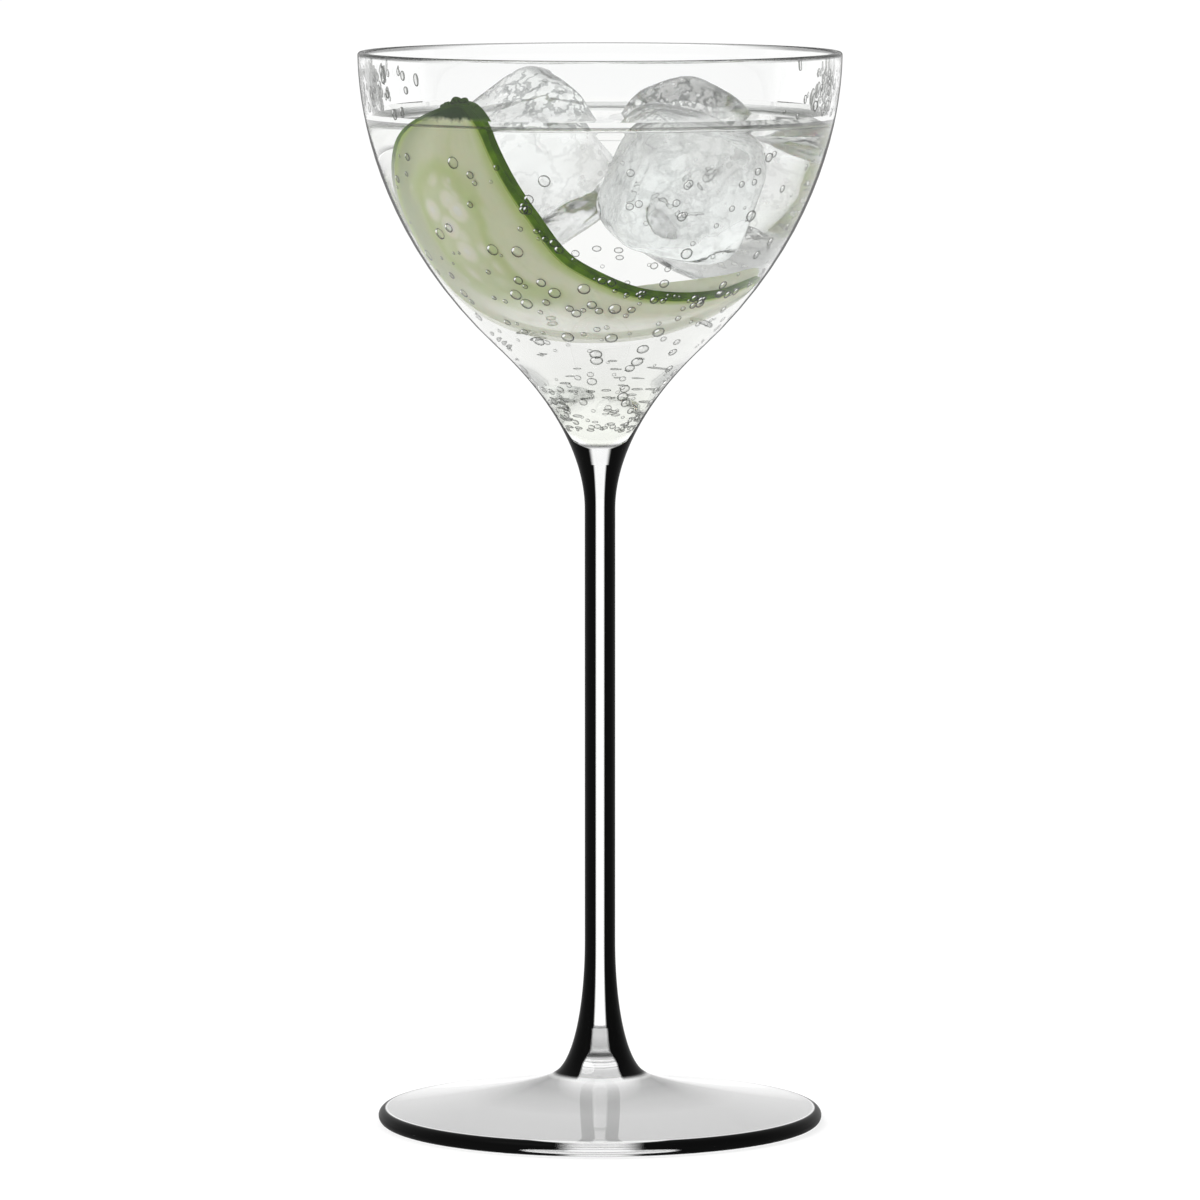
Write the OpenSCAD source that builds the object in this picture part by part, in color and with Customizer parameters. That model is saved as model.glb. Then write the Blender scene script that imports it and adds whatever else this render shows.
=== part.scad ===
// Nick and nora glass: a small stemmed cocktail glass with a deep, closed-in
// bowl, shown as served, with a clear drink, three cubes of ice and a long
// ribbon of cucumber laid round the inside of the bowl.
// Millimetres, +Z up. The foot stands on z = 0 and the front looks along -Y.

/* [Bowl] */
// Height of the glass from the table to the rim
glass_h = 165; // [150:1:180]
// Outside diameter of the rim
rim_d = 74; // [70:0.5:80]
// Wall thickness at the rim
rim_wall = 1; // [0.7:0.05:1.3]
// Depth of the bowl from the rim to its inside bottom
bowl_depth = 60; // [56:0.5:64]
// Outside diameter where the round belly turns into the hollow neck
waist_d = 31.8; // [29:0.2:35]
// Height of that turn above the inside bottom
waist_rise = 15; // [13:0.25:17]
// Lean of the wall from upright at that turn, in degrees
waist_lean = 47; // [40:1:52]
// Wall thickness at that turn
waist_wall = 1.2; // [0.9:0.05:1.5]
// Solid glass from the inside bottom down to the weld with the stem
base_t = 3; // [2:0.25:5]

/* [Stem] */
// Diameter of the straight stem
stem_d = 4.7; // [4:0.1:5.6]
// Drop from the inside bottom of the bowl to the straight stem
taper_l = 10; // [8:0.5:13]
// Height at which the stem starts to flare into the foot
flare_h = 28.4; // [24:0.2:34]
// Height of the weld between stem and foot
weld_h = 15; // [12:0.5:18]

/* [Foot] */
// Diameter of the foot
foot_d = 68.4; // [62:0.2:76]
// Thickness of the foot at its rounded edge
foot_edge_t = 2.3; // [1.8:0.1:3]
// Height of the foot where the collar starts
foot_rise = 7.6; // [6.4:0.1:8.8]
// Diameter of the collar on top of the foot
collar_d = 14.2; // [12:0.2:17]
// Lean of the foot below the collar, in degrees from level
collar_lean = 27; // [22:1:34]
// Width of the flat ring that the glass stands on
ring_w = 4; // [2:0.5:7]
// Height of the hollow under the foot
hollow_h = 1.2; // [0.6:0.1:2]

/* [Drink] */
// Drop from the rim to the level of the drink
fill_drop = 10.6; // [8:0.2:15]
// Radius of the curve with which the drink climbs the wall
meniscus = 2.4; // [1.2:0.1:3]
// Gap kept between the drink and the glass
film = 0.05; // [0.03:0.01:0.1]
// Gap kept between the drink and what lies in it
pocket_gap = 0.3; // [0.2:0.05:0.5]
// Gap between the drink and the cucumber ribbon
ribbon_gap = 0.4; // [0.3:0.05:0.6]

/* [Ice] */
// Edge of an ice cube
ice_edge = 20; // [16:0.5:21]
// Gap between one cube and the next
ice_gap = 0.6; // [0.3:0.1:1.2]
// Depth of the middle of the front cube under the drink's level
front_sink = 8.2; // [5:0.2:12]
// Depth of the middle of the back cube under the drink's level
back_sink = 6.2; // [3:0.2:10]
// Depth of the middle of the left cube under the drink's level
left_sink = 4.4; // [2:0.2:8]

/* [Cucumber] */
// Width of the ribbon at its widest
slice_w = 31; // [24:0.5:34]
// Thickness of the ribbon
slice_t = 2.2; // [1.4:0.1:2.8]
// Width of the green peel round its edge
peel_w = 1.4; // [0.8:0.1:2]
// Gap between the ribbon and the wall of the bowl
slice_gap = 0.5; // [0.3:0.05:0.9]
// Gap between the ribbon and the nearest cube
slice_clear = 0.5; // [0.3:0.05:1]
// Gap between the flesh and its peel
peel_gap = 0.06; // [0.04:0.01:0.1]

/* [Hidden] */

$fn = 96;

// Pulls on the outline, as shares of the height of the curve that they shape
rim_pull_share = 0.153;
belly_pull_share = 0.584;
neck_pull_share = 0.632;
stem_pull_share = 0.194;
tip_pull_shares = [0.47, 0.23];
flare_pull_shares = [0.5, 0.161];
apron_pull_shares = [0.16, 0.36];
hollow_pull_shares = [0.72, 0.36];
edge_lean = 8;

rim_r = rim_d / 2;
stem_r = stem_d / 2;
foot_r = foot_d / 2;
collar_r = collar_d / 2;
waist_r = waist_d / 2;
edge_r = foot_edge_t / 2;
bottom_z = glass_h - bowl_depth;
waist_z = bottom_z + waist_rise;
stem_top_z = bottom_z - taper_l;
neck_z = bottom_z - base_t;
belly_h = glass_h - waist_z;
neck_h = waist_z - stem_top_z;
flare_rise = flare_h - foot_rise;
waist_way = [sin(waist_lean), cos(waist_lean)];
level_z = glass_h - fill_drop;

// Steps along one curve, and along the ribbon and across it
curve_n = 18;
along_n = 22;
across_n = 6;

function bez(p, t) = p[0] * pow(1 - t, 3) + 3 * p[1] * pow(1 - t, 2) * t
    + 3 * p[2] * (1 - t) * t * t + p[3] * pow(t, 3);
function curve(p, n = curve_n) = [for (i = [0 : n]) bez(p, i / n)];
function flip(p) = [for (i = [len(p) - 1 : -1 : 0]) p[i]];
function heights(p) = [for (q = p) [q[1], q[0]]];

// Outside of the glass, from the rim down to the collar
outside = concat(
    curve([[rim_r, glass_h],
           [rim_r, glass_h - rim_pull_share * belly_h],
           [waist_r, waist_z] + belly_pull_share * belly_h * waist_way,
           [waist_r, waist_z]]),
    curve([[waist_r, waist_z],
           [waist_r, waist_z] - neck_pull_share * neck_h * waist_way,
           [stem_r, stem_top_z + stem_pull_share * neck_h],
           [stem_r, stem_top_z]]),
    curve([[stem_r, flare_h],
           [stem_r, flare_h - flare_pull_shares[0] * flare_rise],
           [collar_r - flare_pull_shares[1] * flare_rise * cos(collar_lean),
            foot_rise + flare_pull_shares[1] * flare_rise * sin(collar_lean)],
           [collar_r, foot_rise]]));
outside_heights = heights(outside);
function outer_r(z) = lookup(z, outside_heights);

// Inside of the bowl, from the rim down to the bottom on the axis
inner_rim_r = rim_r - rim_wall;
inner_waist_r = waist_r - waist_wall / cos(waist_lean);
inside = concat(
    curve([[inner_rim_r, glass_h],
           [inner_rim_r, glass_h - rim_pull_share * belly_h],
           [inner_waist_r, waist_z] + belly_pull_share * belly_h * waist_way,
           [inner_waist_r, waist_z]]),
    curve([[inner_waist_r, waist_z],
           [inner_waist_r, waist_z] - tip_pull_shares[0] * waist_rise * waist_way,
           [tip_pull_shares[1] * waist_rise, bottom_z],
           [0, bottom_z]]));
inside_heights = heights(inside);
function inner_r(z) = lookup(z, inside_heights);

// Part of a list of points that lies strictly between two heights
function between(p, top, low) = [for (q = p) if (q[1] < top && q[1] > low) q];
// Outside of the glass between two heights, with its two end points
function skin(top, low) = concat([[outer_r(top), top]], between(outside, top, low),
    [[outer_r(low), low]]);

module bowl() {
    lip_r = rim_wall / 2;
    lip_z = glass_h - lip_r;
    lip = [for (a = [180 : -15 : 0])
        [rim_r - lip_r + lip_r * cos(a), lip_z + lip_r * sin(a)]];
    hollow = flip(between(inside, lip_z - lip_r, bottom_z));
    color([0.86, 0.92, 0.93, 0.4])
        rotate_extrude()
            polygon(concat([[0, neck_z], [0, bottom_z]], hollow, lip,
                skin(lip_z - lip_r, neck_z)));
}

module stem() {
    color([0.86, 0.92, 0.93, 0.4])
        rotate_extrude()
            polygon(concat([[0, weld_h], [0, neck_z]], skin(neck_z, weld_h)));
}

module foot() {
    apron_end = [foot_r - edge_r, foot_edge_t];
    apron_w = foot_r - edge_r - collar_r;
    apron = curve([[collar_r, foot_rise],
        [collar_r + apron_pull_shares[0] * apron_w * cos(collar_lean),
         foot_rise - apron_pull_shares[0] * apron_w * sin(collar_lean)],
        apron_end + apron_pull_shares[1] * apron_w * [-cos(edge_lean), sin(edge_lean)],
        apron_end]);
    edge = [for (a = [75 : -15 : -75])
        [foot_r - edge_r + edge_r * cos(a), edge_r + edge_r * sin(a)]];
    ring_r = foot_r - edge_r - ring_w;
    hollow = curve([[ring_r, 0],
        [hollow_pull_shares[0] * ring_r, hollow_h],
        [hollow_pull_shares[1] * ring_r, hollow_h],
        [0, hollow_h]]);
    color([0.86, 0.92, 0.93, 0.4])
        rotate_extrude()
            polygon(concat([[0, weld_h]], skin(weld_h, foot_rise),
                [for (i = [1 : len(apron) - 1]) apron[i]], edge,
                [[foot_r - edge_r, 0]], hollow));
}

// Three cubes share the bowl, a third of the circle each. They lie towards the
// back right, by a share of the room that they leave beside the wall
ice_round_share = 0.625;
ice_shift_shares = [0.70, 0.12];
ice_r = ice_edge * ice_round_share;
ice_ring_r = (ice_r + ice_gap / 2) / sin(60);
ice_spare = max(0, inner_r(level_z) - slice_clear - ice_ring_r - ice_r);
ice_first = -64;
ice_step = 0.5;
ice_tries = 60;
front_turn = [12, 16, 18];
back_turn = [-20, 28, 40];
left_turn = [24, -38, 12];
function ice_xy(k) = ice_spare * ice_shift_shares
    + ice_ring_r * [cos(ice_first + 120 * k), sin(ice_first + 120 * k)];
// The cubes keep clear of the wall, and low down of the ribbon on it too
ribbon_top_share = 0.5;
ribbon_top_z = glass_h - ribbon_top_share * bowl_depth;
function ice_wall_gap(z) = slice_clear + (z < ribbon_top_z ? slice_gap + slice_t : 0);
// Room left beside a cube at a height, and the lowest height that has room
function ice_room(c, z) = min([for (a = [0 : 10 : 80])
    let (low = z - ice_r * sin(a)) inner_r(low) - ice_wall_gap(low) - c - ice_r * cos(a)]);
function ice_z(c, z) = [for (i = [0 : ice_tries])
    if (ice_room(c, z + i * ice_step) >= 0 || i == ice_tries) z + i * ice_step][0];

module cube_of_ice(k, sink, turn, grow) {
    place = ice_xy(k);
    translate([place[0], place[1], ice_z(norm(place), level_z - sink)])
        rotate(turn)
            intersection() {
                cube(ice_edge + 2 * grow, center = true);
                sphere(ice_r + grow);
            }
}

module front_cube(grow) {
    cube_of_ice(0, front_sink, front_turn, grow);
}

module back_cube(grow) {
    cube_of_ice(1, back_sink, back_turn, grow);
}

module left_cube(grow) {
    cube_of_ice(2, left_sink, left_turn, grow);
}

module ice_front() {
    color([0.88, 0.94, 0.97, 0.6])
        front_cube(0);
}

module ice_back() {
    color([0.88, 0.94, 0.97, 0.6])
        back_cube(0);
}

module ice_left() {
    color([0.88, 0.94, 0.97, 0.6])
        left_cube(0);
}

// Route of the ribbon on the inside of the bowl, one row a station: angle
// round the bowl from the front, depth as a share of the bowl, lean of the
// cross line from upright, and width as a share of the widest
slice_path_shares = [
    [-37, 0.113, 90, 0.26],
    [-46, 0.220, 90, 0.69],
    [-49, 0.395, 88, 1],
    [-41, 0.560, 78, 0.94],
    [-9, 0.648, 60, 0.62],
    [36, 0.655, 50, 0.46],
    [77, 0.590, 42, 0.38]
];
slice_end_share = 0.13;
slice_tip_share = 0.2;
slope_probe = 1;

function station(t, i) = t[max(0, min(len(t) - 1, i))];
function along(t, s) = let (i = min(floor(s), len(t) - 2), f = s - i,
        a = station(t, i - 1), b = station(t, i),
        c = station(t, i + 1), e = station(t, i + 2))
    (2 * b + (c - a) * f + (2 * a - 5 * b + 4 * c - e) * f * f
        + (3 * b - a - 3 * c + e) * f * f * f) / 2;
function wall_slope(z) = (inner_r(z + slope_probe) - inner_r(z - slope_probe))
    / (2 * slope_probe);
function wall_point(az, z, inset) = let (g = wall_slope(z), k = 1 / sqrt(1 + g * g),
        r = inner_r(z) - inset * k)
    [r * sin(az), -r * cos(az), z + inset * g * k];
// A spot of the ribbon on the wall: u along it from 0 to 1, b across it in
// millimetres, as an angle round the bowl and a height
function slice_spot(u, b) = let (
        q = along(slice_path_shares, u * (len(slice_path_shares) - 1)),
        z = glass_h - q[1] * bowl_depth, g = wall_slope(z))
    [q[0] + b * sin(q[2]) / inner_r(z) * 180 / PI, z + b * cos(q[2]) / sqrt(1 + g * g)];
function slice_point(u, b, inset) = let (q = slice_spot(u, b))
    wall_point(q[0], q[1], inset);
function slice_half(u) = slice_w / 2
    * along(slice_path_shares, u * (len(slice_path_shares) - 1))[3];
// Fullness of the rounded ends, and steps along that crowd towards them
function fullness(v) = max(slice_tip_share,
    sqrt(1 - pow(max(0, 1 - min(v, 1 - v) / slice_end_share), 2)));
function crowd(i) = (1 - cos(180 * i / along_n)) / 2;
// The ends of the flesh stay one peel inside the ends of the ribbon
slice_len_share = 1.3;
slice_len = slice_len_share * bowl_depth;
function stop_share(cut) = cut / slice_len;
function slice_u(i, cut) = stop_share(cut) + (1 - 2 * stop_share(cut)) * crowd(i);
function slice_b(i, cut) = max((slice_half(slice_u(i, cut)) - cut) * fullness(crowd(i)),
    peel_gap);

// A sheet on the wall between two insets, its edge drawn in by a cut
module sheet(cut, low, high) {
    row_n = across_n + 1;
    side_n = (along_n + 1) * row_n;
    points = [for (inset = [low, high], i = [0 : along_n], j = [0 : across_n])
        slice_point(slice_u(i, cut), slice_b(i, cut) * (2 * j / across_n - 1), inset)];
    wall_faces = [for (i = [0 : along_n - 1], j = [0 : across_n - 1])
        let (a = i * row_n + j)
        each [[a, a + 1, a + row_n], [a + 1, a + row_n + 1, a + row_n]]];
    open_faces = [for (f = wall_faces) [f[2] + side_n, f[1] + side_n, f[0] + side_n]];
    rim = concat([for (j = [0 : across_n - 1]) j],
        [for (i = [0 : along_n - 1]) i * row_n + across_n],
        [for (j = [across_n : -1 : 1]) along_n * row_n + j],
        [for (i = [along_n : -1 : 1]) i * row_n]);
    rim_faces = [for (i = [0 : len(rim) - 1])
        let (a = rim[i], b = rim[(i + 1) % len(rim)])
        each [[a, b + side_n, b], [a, a + side_n, b + side_n]]];
    polyhedron(points, concat(wall_faces, open_faces, rim_faces));
}

// A closed band round the ribbon between an outer and an inner edge
module band(outer_cut, inner_cut, low, high) {
    loop = concat([for (i = [0 : along_n]) [i, 1]], [for (i = [along_n : -1 : 0]) [i, -1]]);
    corners = [[outer_cut, low], [outer_cut, high], [inner_cut, high], [inner_cut, low]];
    points = [for (q = loop, c = corners)
        slice_point(slice_u(q[0], c[0]), slice_b(q[0], c[0]) * q[1], c[1])];
    corner_n = len(corners);
    faces = [for (i = [0 : len(loop) - 1], j = [0 : corner_n - 1])
        let (a = i * corner_n + j, b = i * corner_n + (j + 1) % corner_n,
             c = ((i + 1) % len(loop)) * corner_n + j,
             e = ((i + 1) % len(loop)) * corner_n + (j + 1) % corner_n)
        each [[a, b, c], [b, e, c]]];
    polyhedron(points, faces);
}

module cucumber_flesh() {
    color([0.80, 0.86, 0.62])
        sheet(peel_w + peel_gap, slice_gap, slice_gap + slice_t);
}

module cucumber_peel() {
    color([0.22, 0.42, 0.10])
        band(0, peel_w, slice_gap, slice_gap + slice_t);
}

// Room for the ribbon in the drink: a band along the wall, cut to the outline
// that the ribbon has from the front. Its open side is the outermost along the
// upper edge, and its wall side along the lower edge and at the right tip
pocket_turn_share = 0.87;
pocket_turn = round(pocket_turn_share * along_n);
pocket_rise_share = 0.05;
pocket_rise = pocket_rise_share * bowl_depth;
pocket_deep = slice_gap + slice_t + ribbon_gap;
function pocket_edge(first, way, inset, gap = ribbon_gap) = [for (i = [first : along_n])
    slice_point(slice_u(i, -gap), way * slice_b(i, -gap), inset)];
pocket_open = [for (i = [0 : pocket_turn]) pocket_edge(0, 1, pocket_deep)[i]];
pocket_tip = pocket_edge(pocket_turn, 1, -slice_gap, 2 * ribbon_gap);
pocket_lower = pocket_edge(0, -1, -slice_gap);
pocket_outline = [for (q = concat(pocket_open, pocket_tip, flip(pocket_lower)))
    [q[0], q[2]]];
pocket_low = min([for (q = pocket_lower) q[2]]) - pocket_deep;
pocket_high = max([for (q = pocket_open) q[2]]) + ribbon_gap;

module slice_pocket() {
    count = ceil((pocket_high - pocket_low) / pocket_rise);
    levels = [for (k = [0 : count]) pocket_low + k * pocket_rise];
    outer_edge = [for (z = levels) [inner_r(z) + slice_gap, z]];
    inner_edge = [for (z = levels)
        let (g = wall_slope(z), f = 1 / sqrt(1 + g * g))
        [inner_r(z) - pocket_deep * f, z + pocket_deep * g * f]];
    intersection() {
        rotate([0, 0, 90])
            rotate_extrude()
                polygon(concat(outer_edge, flip(inner_edge)));
        rotate([90, 0, 0])
            linear_extrude(rim_d)
                polygon(pocket_outline);
    }
}

module drink() {
    color([0.94, 0.96, 0.94, 0.3])
        difference() {
            rotate([0, 0, 90])
                rotate_extrude()
                    drink_shape();
            front_cube(pocket_gap);
            back_cube(pocket_gap);
            left_cube(pocket_gap);
            slice_pocket();
        }
}

module drink_shape() {
    climb_z = level_z + meniscus * (1 - sin(45));
    climb_r = inner_r(climb_z) - film;
    sweep = [for (a = [90 : -15 : 45])
        [climb_r + meniscus * (cos(a) - cos(45)), level_z + meniscus * (1 - sin(a))]];
    wall = [for (q = between(inside, climb_z, bottom_z)) [max(0, q[0] - film), q[1]]];
    polygon(concat([[0, bottom_z + film], [0, level_z]], sweep, wall));
}

bowl();
stem();
foot();
drink();
ice_front();
ice_back();
ice_left();
cucumber_flesh();
cucumber_peel();
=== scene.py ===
"""A nick and nora glass, served: clear water, three ice cubes and a ribbon of cucumber."""

import math
import random

import bpy
from mathutils import Matrix, Vector


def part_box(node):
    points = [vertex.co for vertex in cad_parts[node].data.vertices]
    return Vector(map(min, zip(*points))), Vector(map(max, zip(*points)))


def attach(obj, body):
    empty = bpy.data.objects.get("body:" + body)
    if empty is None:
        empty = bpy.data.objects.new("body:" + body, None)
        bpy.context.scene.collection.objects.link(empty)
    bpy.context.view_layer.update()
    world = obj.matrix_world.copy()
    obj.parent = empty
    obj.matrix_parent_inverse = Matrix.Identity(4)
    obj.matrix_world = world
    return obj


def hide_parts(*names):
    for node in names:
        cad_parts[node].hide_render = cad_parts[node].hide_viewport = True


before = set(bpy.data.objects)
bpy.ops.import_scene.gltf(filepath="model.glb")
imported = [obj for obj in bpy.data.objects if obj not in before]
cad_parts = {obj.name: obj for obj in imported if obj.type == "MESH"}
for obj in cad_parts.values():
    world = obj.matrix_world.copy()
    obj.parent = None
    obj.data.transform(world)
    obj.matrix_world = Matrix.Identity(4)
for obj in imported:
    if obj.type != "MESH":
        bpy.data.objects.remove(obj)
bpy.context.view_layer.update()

bl_info = {
    "name": "Nick and Nora Glass",
    "version": (1, 0, 0),
    "blender": (4, 5, 0),
    "location": "View3D > Sidebar > Glass",
    "description": "Models a filled nick and nora glass over its packed solids",
    "category": "Add Mesh",
}

MM = 0.001

BOWL_LOW, BOWL_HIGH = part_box("bowl")
STEM_LOW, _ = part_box("stem")
FOOT_LOW, FOOT_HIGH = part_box("foot")

# Pulls of the outline's curves, as shares of the length that each curve covers
RIM_PULL, BELLY_PULL = 0.153, 0.584
NECK_PULL, STEM_PULL = 0.632, 0.194
FLARE_PULL, COLLAR_PULL = 0.5, 0.161
APRON_PULL, EDGE_PULL, EDGE_TILT = 0.16, 0.36, math.radians(8)
HOLLOW_PULLS = (0.72, 0.36)
BOTTOM_PULL, BOTTOM_WIDTH = 0.47, 0.23
TABLE_STEPS = 60
# Which faces of a turned piece count as its seam, and which as level
SEAM_REACH, LEVEL_FACE = 0.01 * MM, 0.9

# Route of the ribbon on the inside of the bowl: angle from the front, depth as a share
# of the bowl, lean of the cross line from upright, width as a share of the widest
ROUTE = (
    (-37, 0.113, 90, 0.26),
    (-46, 0.220, 90, 0.69),
    (-49, 0.395, 88, 1.00),
    (-41, 0.560, 78, 0.94),
    (-9, 0.648, 60, 0.62),
    (36, 0.655, 50, 0.46),
    (77, 0.590, 42, 0.38),
)
END_SHARE = 0.13
TIP_SHARE = 0.2
LENGTH_SHARE = 1.3
LEAST_HALF = 0.06 * MM
PEEL_GAP = 0.06 * MM
# The far end leans off the wall and shows its inner face over the peel
FOLD_START, FOLD_END = 0.66, 0.98
FOLD_RISE, FOLD_THICKNESS, FOLD_INSET = 5.0 * MM, 1.0 * MM, 1.0 * MM
FOLD_LEAN, FOLD_ROUNDING = 0.35, 0.6

# How each cube is turned, in degrees, and the dents that melting leaves
CUBE_TURNS = {"front": (12, 16, 18), "back": (-20, 28, 40), "left": (24, -38, 12)}
DENT_SIZE, DENT_MIDDLE = 9 * MM, 0.25

# Bubbles and beads: radii to draw from, flatness, and how they crowd
BUBBLE_RADII = (0.3, 0.35, 0.45, 0.55, 0.65, 0.8, 1.0)
BUBBLE_FLAT, BUBBLE_CROWDING, BACK_RADIUS = 0.34, 1.15, 0.4 * MM
BUBBLE_LOW, BUBBLE_MARGIN = 2.5 * MM, 6 * MM
NARROW_SHARE = 9
EDGE_BUBBLES, EDGE_RADII = 34, (0.3, 0.4, 0.5, 0.75)
EDGE_ALONG, EDGE_ACROSS = (0.2, 0.95), (-1.8, 0.9)
BEAD_RADII, BEAD_LENGTHS = (0.3, 0.4, 0.5, 0.65, 0.8), (1.1, 1.4, 1.8)
BEAD_FLAT, BEAD_SPREAD, BEAD_INSET = 0.42, 0.25, 0.05 * MM
BEAD_LOW, BEAD_HIGH = 1.0 * MM, 2.4 * MM
# Place and size of the painted highlight on each bubble and bead, in its UV map
HIGHLIGHT_TURN, HIGHLIGHT_RISE, HIGHLIGHT_SIZE = 0.62, 0.28, 0.10
# Crumbs of peel: place along and across the tip, rise, radius and flatness
CRUMB_ALONG, CRUMB_ACROSS, CRUMB_RISE = (0.0, 0.05), (-0.9, 0.9), (-0.2, 0.5)
CRUMB_RADII, CRUMB_FLAT = (0.35, 0.75), (0.6, 1.0)
CRUMB_SEED, BUBBLE_SEED, BEAD_SEED = 3, 11, 5

# Refraction of glass and water in air, of the foot's underside on the floor,
# and of what lies in the drink
GLASS_INDEX, WATER_INDEX = 1.5, 1.333
REST_INDEX = 1.12
ICE_INDEX, FLESH_INDEX, PEEL_INDEX = 1.16, 1.04, 1.06
FLESH_SCATTER, FLESH_DEPTH = 0.15, 2 * MM

# The studio. Light mirrored from the camera's side is dimmed to a share
DARK_SIDE = 0.2
FRONT_FLOOR, FRONT_SKY = (-0.05, 0.1), (-0.2, 0.5)
HIGH_SKY, HIGH_DIM = (0.35, 0.95), 0.1
FLOOR_SIZE, FLOOR_DROP = 40, 0.2 * MM
FLOOR_GLOW, FLOOR_GLOW_SHARE = 1.16, 0.6
AMBIENT = 0.92
LAMP_PLACE, LAMP_TARGET = (-0.7, -0.5, 1.1), (0, 0, 0.1)
LAMP_SIZE, LAMP_POWER = 0.9, 6
SENSOR_WIDTH = 36
CLIP_START, CLIP_END = 0.05, 100


def band(start, end):
    """Heights or radii in millimetres between which a finish changes."""
    return start * MM, end * MM


# Heights
LIP = band(164.2, 164.5)
ROOT_START, ROOT_END = band(104.5, 104.9), band(105.0, 105.5)
STEM_SEAM = band(15.2, 15.5)
COLLAR_WIDENS = band(9.5, 12)
# Heights of a dark band round the collar, mixed in with the foot's painted outline
COLLAR_BAND_START, COLLAR_BAND_END = band(10.6, 10.9), band(11.2, 11.6)
GREEN_DEPTH, STREAK_DEPTH = band(106, 124), band(116, 136)
WATER_CLIMB = band(154.45, 154.6)
DRY_ICE, DRY_TIP = band(154.6, 156), band(155.6, 156.4)
# Radii
COLLAR_END, FOOT_EDGE = band(6.6, 7.6), band(32.95, 33.25)
WATER_RING, WATER_SHORE = band(27, 32), band(28, 33)

# How far round from the front the bowl's painted dark outline starts, by height in millimetres
OUTLINE_LOW, OUTLINE_HIGH = 100, 165
BOWL_OUTLINE = ((102, 0.024), (104.6, 0.028), (105.6, 0.40), (108, 0.60), (113, 0.68),
                (122, 0.74), (138, 0.77), (150, 0.80), (156, 0.86), (165, 0.88))
# Painted grey shade of the foot, by the share of a radius and by how far the surface turns away
FOOT_PAINTED_SHADE_RADIUS = 35 * MM
FOOT_PAINTED_SHADE = ((0.18, 0.30), (0.23, 0.94), (0.30, 0.94), (0.42, 0.80), (0.60, 0.66),
             (0.90, 0.70), (0.935, 0.70), (0.945, 0.0))
FOOT_SLANT = ((0.50, 0.0), (0.64, 0.85), (0.75, 1.0), (0.86, 0.97), (0.895, 0.45), (0.93, 0.0))


# Outlines of the glass

def cubic(span, t):
    """A point of a cubic curve, given as four [radius, height] pairs."""
    a, b, c, d = span
    s = 1 - t
    return tuple(a[k] * s ** 3 + 3 * b[k] * s * s * t + 3 * c[k] * s * t * t + d[k] * t ** 3
                 for k in (0, 1))


def halfway(p, q, t):
    return (p[0] + (q[0] - p[0]) * t, p[1] + (q[1] - p[1]) * t)


def moved(p, way, distance):
    return (p[0] + distance * way[0], p[1] + distance * way[1])


def at_height(span, z):
    """Where along a falling curve a height lies."""
    low, high = 0.0, 1.0
    for _ in range(50):
        t = (low + high) / 2
        if cubic(span, t)[1] > z:
            low = t
        else:
            high = t
    return (low + high) / 2


def split(span, t):
    """The curve before and after a place along it."""
    a, b, c, d = span
    ab, bc, cd = halfway(a, b, t), halfway(b, c, t), halfway(c, d, t)
    abc, bcd = halfway(ab, bc, t), halfway(bc, cd, t)
    mid = halfway(abc, bcd, t)
    return [a, ab, abc, mid], [mid, bcd, cd, d]


def split_at(span, z):
    """The curve above and below a height."""
    return split(span, at_height(span, z))


def straight(p, q):
    return [p, halfway(p, q, 1 / 3), halfway(p, q, 2 / 3), q]


def back_to_front(spans):
    return [list(reversed(span)) for span in reversed(spans)]


def arc(centre, radius, start, end):
    """A round part of an outline between two angles of at most a quarter turn."""
    pull = 4 / 3 * math.tan((end - start) / 4) * radius
    p, q = (moved(centre, (math.cos(a), math.sin(a)), radius) for a in (start, end))
    return [p, moved(p, (-math.sin(start), math.cos(start)), pull),
            moved(q, (math.sin(end), -math.cos(end)), pull), q]


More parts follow.
